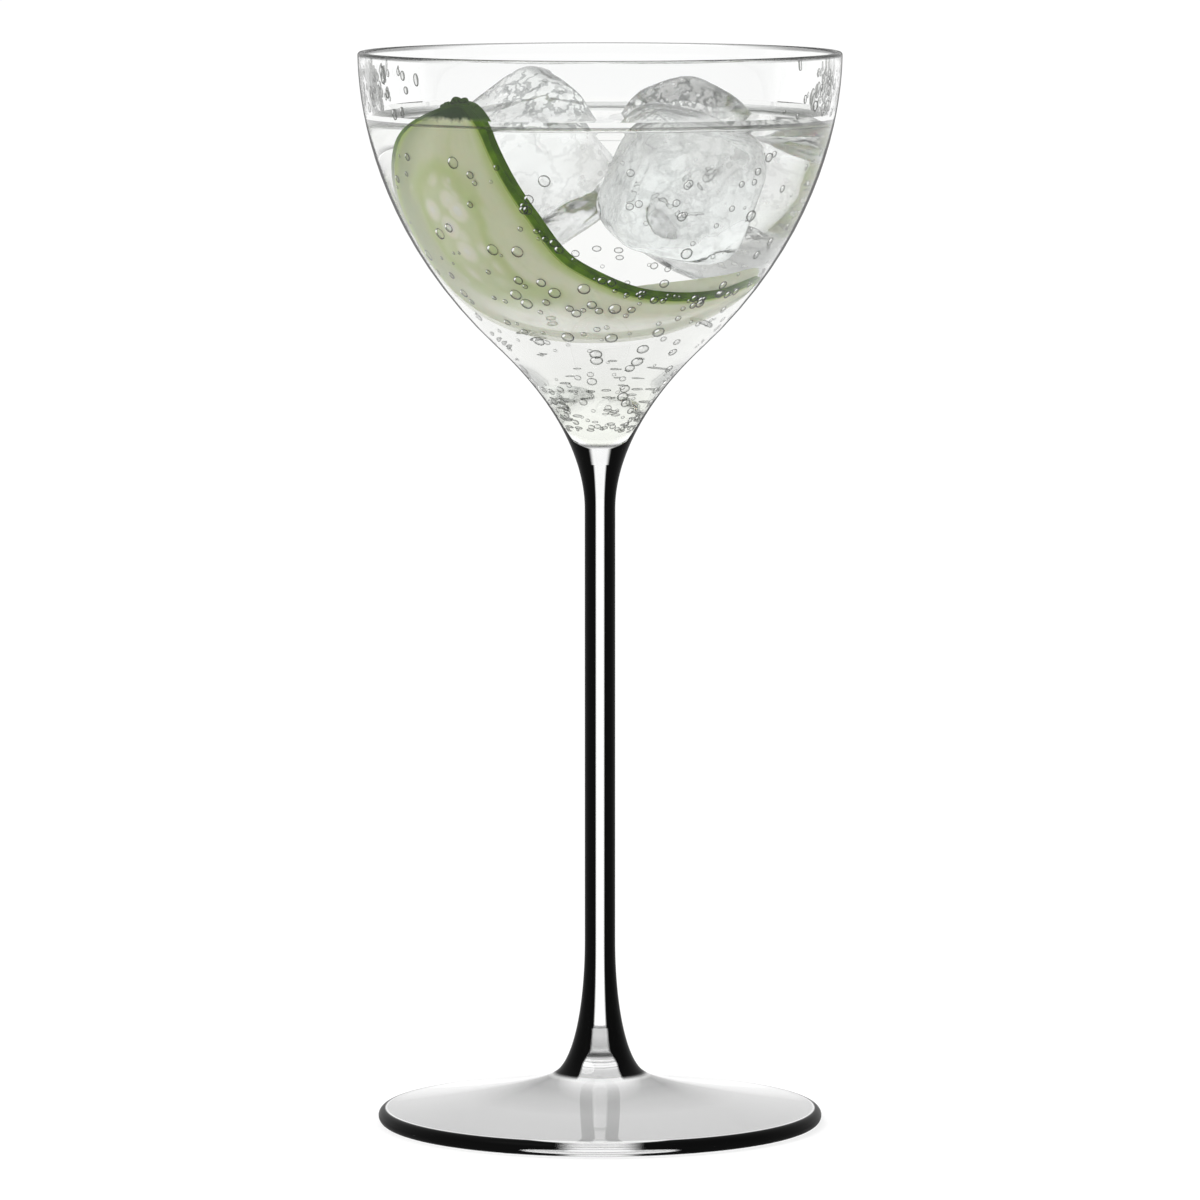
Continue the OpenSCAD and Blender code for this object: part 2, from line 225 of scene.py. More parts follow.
class Outline:
    """The curves of the glass, worked out from its settings."""

    def __init__(self, glass, drink):
        rim, top = glass.rim_diameter / 2, glass.height
        waist = (glass.waist_diameter / 2, top - glass.bowl_depth + glass.waist_rise)
        way = (math.sin(glass.waist_lean), math.cos(glass.waist_lean))
        stem = glass.stem_diameter / 2
        belly = top - waist[1]
        self.rim, self.top = rim, top
        self.bottom = top - glass.bowl_depth
        self.weld_top = self.bottom - glass.base_thickness
        self.weld_low = glass.weld_height
        self.lip = glass.rim_wall / 2
        stem_top = self.bottom - glass.taper_length
        neck = waist[1] - stem_top
        self.belly = [(rim, top), (rim, top - RIM_PULL * belly),
                      moved(waist, way, BELLY_PULL * belly), waist]
        self.neck = [waist, moved(waist, way, -NECK_PULL * neck),
                     (stem, stem_top + STEM_PULL * neck), (stem, stem_top)]

        collar = (glass.collar_diameter / 2, glass.foot_rise)
        slope = (math.cos(glass.collar_lean), -math.sin(glass.collar_lean))
        rise = glass.flare_height - glass.foot_rise
        self.flare = [(stem, glass.flare_height), (stem, glass.flare_height - FLARE_PULL * rise),
                      moved(collar, slope, -COLLAR_PULL * rise), collar]
        edge = glass.foot_edge / 2
        rest = (glass.foot_diameter / 2 - edge, glass.foot_edge)
        width = rest[0] - collar[0]
        tilt = (math.cos(EDGE_TILT), -math.sin(EDGE_TILT))
        self.apron = [collar, moved(collar, slope, APRON_PULL * width),
                      moved(rest, tilt, -EDGE_PULL * width), rest]
        self.edge = [arc((rest[0], edge), edge, math.pi / 2, 0),
                     arc((rest[0], edge), edge, 0, -math.pi / 2)]
        ring = rest[0] - glass.ring_width
        self.ring = straight((rest[0], 0), (ring, 0))
        hollow = glass.hollow_height
        self.hollow = [(ring, 0), (HOLLOW_PULLS[0] * ring, hollow),
                       (HOLLOW_PULLS[1] * ring, hollow), (0, hollow)]

        inner_rim = rim - glass.rim_wall
        inner = (waist[0] - glass.waist_wall / math.cos(glass.waist_lean), waist[1])
        self.inner_belly = [(inner_rim, top), (inner_rim, top - RIM_PULL * belly),
                            moved(inner, way, BELLY_PULL * belly), inner]
        self.inner_tip = [inner, moved(inner, way, -BOTTOM_PULL * glass.waist_rise),
                          (BOTTOM_WIDTH * glass.waist_rise, self.bottom), (0, self.bottom)]
        self.level = top - drink.fill_drop
        self.climb = self.level + drink.meniscus * (1 - math.sin(math.pi / 4))
        self.table = [cubic(span, k / TABLE_STEPS) for span in (self.inner_belly, self.inner_tip)
                      for k in range(TABLE_STEPS + 1)]

    def inner_radius(self, z):
        """Radius of the inside of the bowl at a height."""
        table = self.table
        if z >= table[0][1]:
            return table[0][0]
        for above, below in zip(table, table[1:]):
            if below[1] <= z <= above[1] and above[1] > below[1]:
                share = (z - below[1]) / (above[1] - below[1])
                return below[0] + (above[0] - below[0]) * share
        return 0.0

    def wall_slope(self, z):
        probe = MM
        return (self.inner_radius(z + probe) - self.inner_radius(z - probe)) / (2 * probe)

    def wall_point(self, azimuth, z, inset):
        """A point off the inside of the bowl; the azimuth counts from the front."""
        slope = self.wall_slope(z)
        k = 1 / math.sqrt(1 + slope * slope)
        radius = self.inner_radius(z) - inset * k
        return Vector((radius * math.sin(azimuth), -radius * math.cos(azimuth),
                       z + inset * slope * k))

    def wall_normal(self, azimuth, z):
        return (self.wall_point(azimuth, z, MM) - self.wall_point(azimuth, z, 0)).normalized()


class Ribbon:
    """The cucumber's route, as points on and off the wall of the bowl."""

    def __init__(self, outline, glass, cucumber):
        self.outline = outline
        self.top, self.depth = glass.height, glass.bowl_depth
        self.width = cucumber.width
        self.length = LENGTH_SHARE * glass.bowl_depth

    def station(self, u):
        """Smooth values of the route's four columns at a share of its length."""
        last = len(ROUTE) - 1
        s = u * last
        i = max(-1, min(int(math.floor(s)), last - 1))
        f = s - i
        a, b, c, e = (ROUTE[max(0, min(last, i + k))] for k in (-1, 0, 1, 2))
        return [(2 * b[k] + (c[k] - a[k]) * f
                 + (2 * a[k] - 5 * b[k] + 4 * c[k] - e[k]) * f * f
                 + (3 * b[k] - a[k] - 3 * c[k] + e[k]) * f ** 3) / 2 for k in range(4)]

    def point(self, u, across, inset):
        """A point of the ribbon: u along it, across in metres from its middle line."""
        azimuth, depth, lean, _ = self.station(u)
        lean = math.radians(lean)
        z = self.top - depth * self.depth
        slope = self.outline.wall_slope(z)
        turn = math.radians(azimuth) + across * math.sin(lean) / self.outline.inner_radius(z)
        z += across * math.cos(lean) / math.sqrt(1 + slope * slope)
        return self.outline.wall_point(turn, z, inset)

    def half(self, v, cut):
        """Half the width at a share of the length, with its edge drawn in by a cut."""
        stop = cut / self.length
        u = stop + (1 - 2 * stop) * v
        near = max(0.0, 1 - min(v, 1 - v) / END_SHARE)
        full = max(TIP_SHARE, math.sqrt(max(0.0, 1 - near * near)))
        return u, max((self.width / 2 * self.station(u)[3] - cut) * full, LEAST_HALF)


# Settings

def setting_kind(make, **limits):
    """A maker of one kind of setting, which takes its name, description and default."""
    def setting(name, description, default):
        return make(name=name, description=description, default=default, **limits)
    return setting


length = setting_kind(bpy.props.FloatProperty, min=0, unit="LENGTH", precision=4)
angle = setting_kind(bpy.props.FloatProperty, subtype="ANGLE")
focal = setting_kind(bpy.props.FloatProperty, min=1, unit="CAMERA")
colour = setting_kind(bpy.props.FloatVectorProperty, size=3, min=0, max=1, subtype="COLOR")
count = setting_kind(bpy.props.IntProperty, min=0)


class GlassSettings(bpy.types.PropertyGroup):
    """Sizes and colours of the blown glass"""
    height: length("Height", "From the table to the rim", BOWL_HIGH.z)
    rim_diameter: length("Rim", "Diameter over the rim", BOWL_HIGH.x - BOWL_LOW.x)
    rim_wall: length("Rim wall", "Thickness of the wall at the rim", 1.0 * MM)
    bowl_depth: length("Bowl depth", "From the rim to the bottom inside", 60 * MM)
    waist_diameter: length("Waist", "Diameter where the bowl narrows", 31.8 * MM)
    waist_rise: length("Waist rise", "Height of the waist over the bottom", 15 * MM)
    waist_lean: angle("Waist lean", "Lean of the wall at the waist", math.radians(47))
    waist_wall: length("Waist wall", "Thickness of the wall at the waist", 1.2 * MM)
    base_thickness: length("Base", "Glass under the bottom of the bowl", 3 * MM)
    stem_diameter: length("Stem", "Diameter of the stem", 4.7 * MM)
    taper_length: length("Taper", "Length of the taper over the stem", 10 * MM)
    flare_height: length("Flare", "Height where the stem flares", 28.4 * MM)
    weld_height: length("Weld", "Height of the seam of stem and foot", STEM_LOW.z)
    foot_diameter: length("Foot", "Diameter of the foot", FOOT_HIGH.x - FOOT_LOW.x)
    foot_edge: length("Foot edge", "Thickness of the edge of the foot", 2.3 * MM)
    foot_rise: length("Collar height", "Height of the collar", 7.6 * MM)
    collar_diameter: length("Collar", "Diameter of the collar", 14.2 * MM)
    collar_lean: angle("Collar lean", "Lean of the foot at the collar", math.radians(27))
    ring_width: length("Ring", "Width of the ring under the foot", 4 * MM)
    hollow_height: length("Hollow", "Height of the hollow under the foot", 1.2 * MM)
    clear: colour("Clear", "Colour of the glass", (0.99, 0.994, 0.991))
    # The dark colour is painted shade for the outline of the glass, not a colour that the glass
    # has
    dark: colour("Dark", "Colour of its outline", (0.004, 0.004, 0.004))


class DrinkSettings(bpy.types.PropertyGroup):
    """Sizes and colours of the drink"""
    fill_drop: length("Drop", "From the rim to the level of the drink", 10.6 * MM)
    meniscus: length("Meniscus", "Radius of the climb at the wall", 2.4 * MM)
    film: length("Film", "Gap to the glass", 0.05 * MM)
    body: colour("Body", "Colour of the drink", (0.985, 0.988, 0.975))
    low: colour("Low", "Colour of the drink low in the bowl", (0.955, 0.97, 0.91))
    # Streak colours the painted grey shade at the sides of the drink
    streak: colour("Streak", "Colour of the grey streaks in its sides", (0.42, 0.44, 0.43))
    # Shade is painted shade on the drink's surface at the wall
    shade: colour("Shade", "Colour of its surface at the wall", (0.36, 0.37, 0.37))
    bubbles: count("Bubbles", "Bubbles that cling to the wall", 520)
    beads: count("Beads", "Beads of water over the drink", 230)
    # Ring is the painted shade of the waterline and of the rims of bubbles and beads
    ring: colour("Ring", "Colour of the waterline and of a bubble's rim", (0.06, 0.07, 0.05))


class IceSettings(bpy.types.PropertyGroup):
    """Sizes and colours of the ice"""
    edge: length("Edge", "Edge of a cube", 20 * MM)
    rounding: length("Rounding", "Radius of its melted edges", 5.2 * MM)
    reach: length("Reach", "From its middle to its corners", 12.4 * MM)
    dents: length("Dents", "Depth of the dents that melting leaves", 1.3 * MM)
    clear: colour("Clear", "Colour of the clear skin", (0.965, 0.98, 0.98))
    cloud: colour("Cloud", "Colour of the cloudy core", (0.95, 0.95, 0.95))
    # Rim colours the ice's edges as painted shade; crack colours its cracks and, as painted shade,
    # its edges over the drink
    rim: colour("Rim", "Colour of the edges", (0.55, 0.56, 0.56))
    crack: colour("Crack", "Colour of cracks and edges in the air", (0.16, 0.17, 0.17))
    speck: colour("Speck", "Colour of the air locked in the core", (1.0, 1.0, 1.0))


class CucumberSettings(bpy.types.PropertyGroup):
    """Sizes and colours of the cucumber"""
    width: length("Width", "Width of the ribbon at its widest", 31 * MM)
    thickness: length("Thickness", "Thickness of the ribbon", 2.2 * MM)
    gap: length("Gap", "Gap to the wall of the bowl", 0.5 * MM)
    peel: length("Peel", "Width of the peel", 1.4 * MM)
    flesh: colour("Flesh", "Colour of the flesh", (0.80, 0.83, 0.58))
    core: colour("Core", "Colour of the flesh round the seeds", (0.97, 0.97, 0.79))
    halo: colour("Halo", "Colour of the jelly round the core", (0.64, 0.74, 0.34))
    seed: colour("Seed", "Colour of the seeds", (0.99, 0.99, 0.90))
    dusk: colour("Dusk", "Colour of the flesh in the shade", (0.38, 0.45, 0.22))
    pale: colour("Pale", "Colour of the thin far end", (0.98, 0.99, 0.80))
    green: colour("Green", "Colour of the flesh beside the peel", (0.52, 0.66, 0.16))
    skin: colour("Skin", "Colour of the peel", (0.066, 0.150, 0.001))
    tip: colour("Tip", "Colour of the tip over the drink", (0.018, 0.050, 0.003))
    light_skin: colour("Light skin", "Colour of the streaks in the peel", (0.135, 0.275, 0.003))
    crumbs: count("Crumbs", "Crumbs of peel on the upper tip", 26)


class StageSettings(bpy.types.PropertyGroup):
    """Camera and floor"""
    distance: length("Distance", "From the glass to the camera", 1.323)
    eye: length("Eye", "Height of the camera", 0.2167)
    pitch: angle("Pitch", "How far the camera looks down", math.radians(5.86))
    lens: focal("Lens", "Focal length in millimetres", 260)
    paper: colour("Paper", "Colour of the floor", (0.93, 0.93, 0.93))


def settings(name):
    return getattr(bpy.context.scene, "served_" + name)


def glass_outline():
    return Outline(settings("glass"), settings("drink"))


# Modelling helpers

def nothing_selected():
    if bpy.context.mode != "OBJECT":
        bpy.ops.object.mode_set(mode="OBJECT")
    bpy.ops.object.select_all(action="DESELECT")


def named(piece, name):
    piece.name = piece.data.name = name
    return piece


def put(thing, **values):
    for key, value in values.items():
        setattr(thing, key, value)


def edit_whole_mesh():
    bpy.ops.object.mode_set(mode="EDIT")
    bpy.ops.mesh.select_all(action="SELECT")


def tidy_mesh(merge=1e-6):
    """Merges doubles and turns the faces of the active piece outwards."""
    edit_whole_mesh()
    bpy.ops.mesh.remove_doubles(threshold=merge)
    bpy.ops.mesh.normals_make_consistent(inside=False)
    bpy.ops.object.mode_set(mode="OBJECT")


def lathe(name, spans, steps=128, fineness=18):
    """Draws an outline as one curve and spins it round the upright axis."""
    nothing_selected()
    bpy.ops.curve.primitive_bezier_curve_add(radius=MM, location=(0, 0, 0))
    piece = bpy.context.object
    piece.data.dimensions = "3D"
    spline = piece.data.splines[0]
    spline.resolution_u = fineness
    spline.bezier_points.add(len(spans) + 1 - len(spline.bezier_points))
    for k, knot in enumerate(spline.bezier_points):
        knot.handle_left_type = knot.handle_right_type = "FREE"
        here = spans[k][0] if k < len(spans) else spans[-1][3]
        before = spans[k - 1][2] if k else here
        after = spans[k][1] if k < len(spans) else here
        knot.co = (here[0], 0, here[1])
        knot.handle_left = (before[0], 0, before[1])
        knot.handle_right = (after[0], 0, after[1])
    bpy.ops.object.convert(target="MESH")
    piece = named(bpy.context.object, name)
    edit_whole_mesh()
    bpy.ops.mesh.spin(steps=steps, angle=2 * math.pi, center=(0, 0, 0), axis=(0, 0, 1))
    bpy.ops.object.mode_set(mode="OBJECT")
    tidy_mesh()
    bpy.ops.object.shade_smooth_by_angle(angle=math.radians(40))
    return piece


def apply_modifier(piece, kind, **values):
    modifier = piece.modifiers.new(kind.title(), kind)
    put(modifier, **values)
    bpy.context.view_layer.objects.active = piece
    bpy.ops.object.modifier_apply(modifier=modifier.name)


def slab(name, columns, rows, place, thickness, merge=1e-6):
    """A thick sheet whose knots are put in place one by one, with an even UV map."""
    nothing_selected()
    bpy.ops.mesh.primitive_grid_add(x_subdivisions=columns, y_subdivisions=rows, size=2,
                                    calc_uvs=True)
    piece = named(bpy.context.object, name)
    for knot in piece.data.vertices:
        knot.co = place((knot.co.x + 1) / 2, (knot.co.y + 1) / 2)
    apply_modifier(piece, "SOLIDIFY", thickness=thickness, offset=0.0)
    tidy_mesh(merge)
    bpy.ops.object.shade_smooth_by_angle(angle=math.radians(50))
    return piece


def ball_cluster(name, balls):
    """Many small balls as one piece: centre, normal, radius, and shares for depth and length."""
    nothing_selected()
    made = []
    for centre, normal, radius, flat, tall in balls:
        bpy.ops.mesh.primitive_uv_sphere_add(segments=12, ring_count=5, radius=radius)
        ball = bpy.context.object
        ball.scale = (1, tall, flat)
        aside = Vector((0, 0, 1)).cross(normal).normalized()
        ball.rotation_euler = Matrix((aside, normal.cross(aside), normal)).transposed().to_euler()
        ball.location = centre
        made.append(ball)
    for ball in made:
        ball.select_set(True)
    bpy.context.view_layer.objects.active = made[0]
    bpy.ops.object.join()
    piece = named(bpy.context.object, name)
    bpy.ops.object.transform_apply(location=True, rotation=True, scale=True)
    bpy.ops.object.shade_smooth()
    return piece


def dress(piece, *finishes):
    for finish in finishes:
        piece.data.materials.append(finish)


def finish_piece(piece, body, slot, *nodes):
    """Ties a finished piece to its body and hides the solids that it stands for; the slot is not
    used.
    """
    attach(piece, body)
    if nodes:
        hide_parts(*nodes)


# Materials

class Value:
    """A number in a node tree. Arithmetic on it adds Math nodes."""

    def __init__(self, paint, socket):
        self.paint, self.socket = paint, socket

    def __add__(self, other):
        return self.paint.math("ADD", self, other)

    def __sub__(self, other):
        return self.paint.math("SUBTRACT", self, other)

    def __rsub__(self, other):
        return self.paint.math("SUBTRACT", other, self)

    def __mul__(self, other):
        return self.paint.math("MULTIPLY", self, other)

    def __truediv__(self, other):
        return self.paint.math("DIVIDE", self, other)

    __radd__ = __add__
    __rmul__ = __mul__


class Paint:
    """The node tree of one material or of the world."""

    SOCKETS = {"colour": "Base Color", "rough": "Roughness", "ior": "IOR", "alpha": "Alpha",
               "clear": "Transmission Weight", "normal": "Normal", "gloss": "Specular IOR Level",
               "scatter": "Subsurface Weight", "depth": "Subsurface Scale",
               "glow": "Emission Color", "glow_power": "Emission Strength"}

    def __init__(self, name, tree=None):
        self.material = None
        if tree is None:
            self.material = bpy.data.materials.new(name)
            self.material.use_nodes = True
            tree = self.material.node_tree
        self.tree = tree
        tree.nodes.clear()

    def node(self, kind, options=None, inputs=None):
        """Adds a node: its options first, then the values or links of its sockets."""
        made = self.tree.nodes.new("ShaderNode" + kind)
        put(made, **(options or {}))
        for key, value in (inputs or {}).items():
            self.feed(made.inputs[key], value)
        return made

    def feed(self, socket, value):
        """Links a socket to a value of the tree, or sets it."""
        if isinstance(value, Value):
            value = value.socket
        if isinstance(value, bpy.types.NodeSocket):
            self.tree.links.new(value, socket)
        elif socket.type == "RGBA" and len(value) == 3:
            socket.default_value = (*value, 1)
        else:
            socket.default_value = value

    def math(self, operation, *numbers):
        made = self.node("Math", {"operation": operation}, dict(enumerate(numbers)))
        return Value(self, made.outputs[0])

    def most(self, first, second):
        return self.math("MAXIMUM", first, second)

    def step(self, value, start, end):
        """Rises smoothly from 0 to 1 between two values."""
        made = self.node("MapRange", {"interpolation_type": "SMOOTHSTEP"},
                         {"Value": value, "From Min": start, "From Max": end})
        return Value(self, made.outputs["Result"])

    def between(self, value, start, end):
        """1 between two bands, with a smooth step in each."""
        return self.step(value, *start) * (1 - self.step(value, *end))

    def ramp(self, value, stops):
        """A number that runs straight from stop to stop."""
        made = self.node("ValToRGB", None, {"Fac": value})
        elements = made.color_ramp.elements
        while len(elements) < len(stops):
            elements.new(1)
        for element, (place, number) in zip(elements, stops):
            element.position = place
            element.color = (number, number, number, 1)
        made = self.node("RGBToBW", None, {"Color": made.outputs["Color"]})
        return Value(self, made.outputs[0])

    def blend(self, factor, first, second):
        """Mixes two colours."""
        made = self.node("Mix", {"data_type": "RGBA"}, {"Factor": factor})
        for socket, value in zip((s for s in made.inputs if s.type == "RGBA"), (first, second)):
            self.feed(socket, value)
        return next(s for s in made.outputs if s.type == "RGBA")

    def layers(self, tone, *coats):
        """Lays colours over a tone, each by its own factor."""
        for factor, coat in coats:
            tone = self.blend(factor, tone, coat)
        return tone

    def grey(self, tone):
        return self.node("CombineColor", None, {0: tone, 1: tone, 2: tone}).outputs[0]

    def noise(self, scale, detail=2.0, vector=None, roughness=0.5):
        inputs = {"Scale": scale, "Detail": detail, "Roughness": roughness,
                  "Vector": vector or self.place()}
        return Value(self, self.node("TexNoise", None, inputs).outputs["Fac"])

    def cells(self, vector, scale, randomness):
        """Distance from the middle of the nearest cell."""
        made = self.node("TexVoronoi", {"feature": "F1"},
                         {"Vector": vector, "Scale": scale, "Randomness": randomness})
        return Value(self, made.outputs["Distance"])

    def scaled(self, vector, scale):
        return self.node("Mapping", None, {"Vector": vector, "Scale": scale}).outputs[0]

    def place(self):
        return self.node("TexCoord").outputs["Object"]

    def uv(self):
        return self.node("TexCoord").outputs["UV"]

    def axes(self, vector):
        made = self.node("SeparateXYZ", None, {"Vector": vector})
        return [Value(self, s) for s in made.outputs]

    def facing(self, normal=None):
        """0 where the surface faces the eye, 1 where it turns away."""
        inputs = {"Blend": 0.5}
        if normal is not None:
            inputs["Normal"] = normal
        return Value(self, self.node("LayerWeight", None, inputs).outputs["Facing"])

    def round_turn(self):
        """0 on the side of a round piece that faces the eye, 1 at its left and right outline."""
        flat = self.node("VectorMath", {"operation": "MULTIPLY"},
                         {0: self.place(), 1: (1, 1, 0)}).outputs[0]
        outward = self.node("VectorMath", {"operation": "NORMALIZE"}, {0: flat}).outputs[0]
        upright = self.node("CombineXYZ", None, {"X": 0.0, "Y": 0.0, "Z": 1.0}).outputs[0]
        steep = 1 - self.facing(upright)
        run = self.math("SQRT", self.most(1 - steep * steep, 0.04))
        return 1 - self.math("MINIMUM", (1 - self.facing(outward)) / run, 1.0)

    def from_outside(self):
        """1 where the eye looks at a surface from outside the glass."""
        return 1 - Value(self, self.node("NewGeometry").outputs["Backfacing"])

    def radius(self):
        x, y, _ = self.axes(self.place())
        return self.math("SQRT", x * x + y * y)

    def height(self):
        return self.axes(self.place())[2]

    def shader(self, **inputs):
        return self.node("BsdfPrincipled", None,
                         {self.SOCKETS[key]: value for key, value in inputs.items()}).outputs[0]

    # A dull dark surface, mixed in as painted shade
    def dark(self, tone):
        return self.shader(colour=tone, rough=0.3, gloss=0.02)

    def see_through(self):
        return self.node("BsdfTransparent").outputs[0]

    def bump(self, height, strength, distance):
        return self.node("Bump", None, {"Height": height, "Strength": strength,
                                        "Distance": distance}).outputs["Normal"]

    def mixed(self, factor, first, second):
        return self.node("MixShader", None, {0: factor, 1: first, 2: second}).outputs[0]

    def done(self, surface):
        self.node("OutputMaterial", None, {"Surface": surface})
        return self.material


def glass_finish(name, painted_outline=None, ior=GLASS_INDEX, tint_and_shade=None):
    """Clear glass, with a near-black painted shade mixed in along its outline where the outline
    mask says.
    """
    look = settings("glass")
    paint = Paint(name)
    clear = paint.shader(colour=tint_and_shade(paint) if tint_and_shade else look.clear, rough=0.0, ior=ior, clear=1.0)
    if painted_outline is None:
        return paint.done(clear)
    # Painted shade: the dark outline stands for dark surroundings that the glass bends in at its
    # edges
    return paint.done(paint.mixed(painted_outline(paint) * paint.from_outside(), clear, paint.dark(look.dark)))


def bowl_painted_outline(paint):
    """Painted shade: a thin dark outline that grows towards the stem, a dark root and a dark rim.
    """
    z = paint.height()
    tall = OUTLINE_HIGH - OUTLINE_LOW
    start = paint.ramp((z - OUTLINE_LOW * MM) / (tall * MM), [
        ((height - OUTLINE_LOW) / tall, turn) for height, turn in BOWL_OUTLINE])
    side = paint.step(paint.round_turn(), start, start + 0.06)
    root = paint.between(z, ROOT_START, ROOT_END)
    lip = paint.step(z, *LIP) * paint.step(paint.facing(), 0.15, 0.45)
    rim = paint.most(lip * 0.6, paint.step(paint.facing(), 0.84, 0.96) * 0.7)
    return paint.most(paint.most(side, root * 0.7), rim)


def stem_painted_outline(paint):
    """Painted shade: black at both sides of a light strip."""
    seam = 1 - paint.step(paint.height(), *STEM_SEAM)
    return paint.most(paint.step(paint.round_turn(), 0.022, 0.048), seam * 0.45)


def foot_painted_outline(paint):
    """Painted shade: black at the sides of the collar and round the edge of the foot."""
    turn, r, z = paint.round_turn(), paint.radius(), paint.height()
    start = 0.03 + 0.08 * (1 - paint.step(z, *COLLAR_WIDENS))
    # A dark band round the collar, part of the painted outline
    collar_band = paint.between(z, COLLAR_BAND_START, COLLAR_BAND_END)
    side = paint.most(paint.step(turn, start, start + 0.04), collar_band * 0.8)
    collar = (1 - paint.step(r, *COLLAR_END)) * side
    # Level streaks that break the light gap at the front of the painted dark edge
    lines = paint.node("TexWave", {"wave_type": "BANDS", "bands_direction": "Z"},
                       {"Vector": paint.place(), "Scale": 190.0, "Distortion": 0.0})
    streak = paint.step(Value(paint, lines.outputs["Fac"]), 0.6, 1.0) * 0.05
    edge = paint.step(r, *FOOT_EDGE) * paint.step(turn, streak + 0.002, streak + 0.022)
    edge = edge * (1 - paint.step(paint.facing(), 0.90, 0.98))
    return paint.most(collar, edge)


def foot_painted_shade(paint):
    """Painted shade: grey where the foot bends the light most, towards the collar and the sides.
    """
    shade = paint.ramp(paint.radius() / FOOT_PAINTED_SHADE_RADIUS, FOOT_PAINTED_SHADE)
    slant = paint.ramp(paint.facing(), FOOT_SLANT)
    return paint.grey(1 - shade * slant * paint.from_outside())


def wet_tint_and_painted_shade(paint):
    """The drink's own colour, greener low in the bowl, with grey streaks at the sides as painted
    shade.
    """
    look = settings("drink")
    z = paint.height()
    low = 1 - paint.step(z, *GREEN_DEPTH)
    flat = paint.scaled(paint.place(), (50, 50, 520))
    streak = paint.step(paint.noise(1.0, 3.0, flat), 0.48, 0.62)
    # Painted shade: grey streaks where the wall turns away from the eye, high in the bowl
    side = paint.step(paint.facing(), 0.3, 0.75) * paint.step(z, *STREAK_DEPTH)
    return paint.layers(look.body, (low, look.low), (streak * side * 0.55, look.streak))


def seam_finish():
    """A welded seam inside the glass, which the light passes unseen."""
    paint = Paint("weld_seam")
    return paint.done(paint.see_through())


def drink_finish():
    """The water's surface, darker near the wall and see-through where it climbs it; the darkening
    and the dark waterline are painted shade.
    """
    look = settings("drink")
    paint = Paint("drink_surface")
    # Painted shade: the surface turns to the shade colour near the wall
    tone = paint.blend(paint.step(paint.radius(), *WATER_RING), look.body, look.shade)
    water = paint.shader(colour=tone, rough=0.02, ior=WATER_INDEX, clear=1.0)
    climb = paint.step(paint.height(), *WATER_CLIMB)
    rise = paint.mixed(climb * 0.4, water, paint.see_through())
    # Painted shade: a dark waterline where the climb and the flat ring at the wall turn away from
    # the eye
    slant = paint.facing()
    shore = paint.step(paint.radius(), *WATER_SHORE) * paint.step(slant, 0.85, 0.94) * 0.8
    edge = paint.most(climb * paint.step(slant, 0.45, 0.9) * 0.75, shore)
    return paint.done(paint.mixed(edge, rise, paint.dark(look.ring)))


def ice_finish():
    """Wet ice: a clear skin, a cloudy core with fine cracks, and grey edges painted by how far
    they turn from the eye, darker over the drink, as painted shade.
    """
    look = settings("ice")
    paint = Paint("melting_ice")
    cloud = paint.step(paint.noise(80.0, 3.0), 0.44, 0.62)
    # Painted shade: the edges turn grey as they turn away from the eye
    rim = paint.step(paint.facing(), 0.55, 0.97)
    dry = paint.step(paint.height(), *DRY_ICE)
    vein = paint.math("ABSOLUTE", paint.noise(150.0, 4.0, roughness=0.6) - 0.5)
    crack = (1 - paint.step(vein, 0.012, 0.03)) * (dry * 0.6 + 0.2)
    speck = (1 - paint.step(paint.cells(paint.place(), 620.0, 1.0), 0.16, 0.26)) * cloud
    # Painted shade: over the drink the ice is greyer and its edges darker; the cracks are drawn
    # darker there too
    tone = paint.layers(
        look.clear, (cloud, look.cloud), (rim, look.rim), (dry * 0.3, look.rim),
        (paint.step(paint.facing(), 0.55, 0.82) * dry, look.crack), (crack, look.crack),
        (speck, look.speck))
    skin = paint.bump(paint.noise(240.0, 2.0), 0.3, 0.6 * MM)
    clear = paint.shader(colour=tone, rough=0.05, ior=ICE_INDEX, clear=1.0, normal=skin)
    milk = paint.shader(colour=tone, rough=0.35, normal=skin)
    return paint.done(paint.mixed(cloud * 0.24 + speck * 0.4, clear, milk))


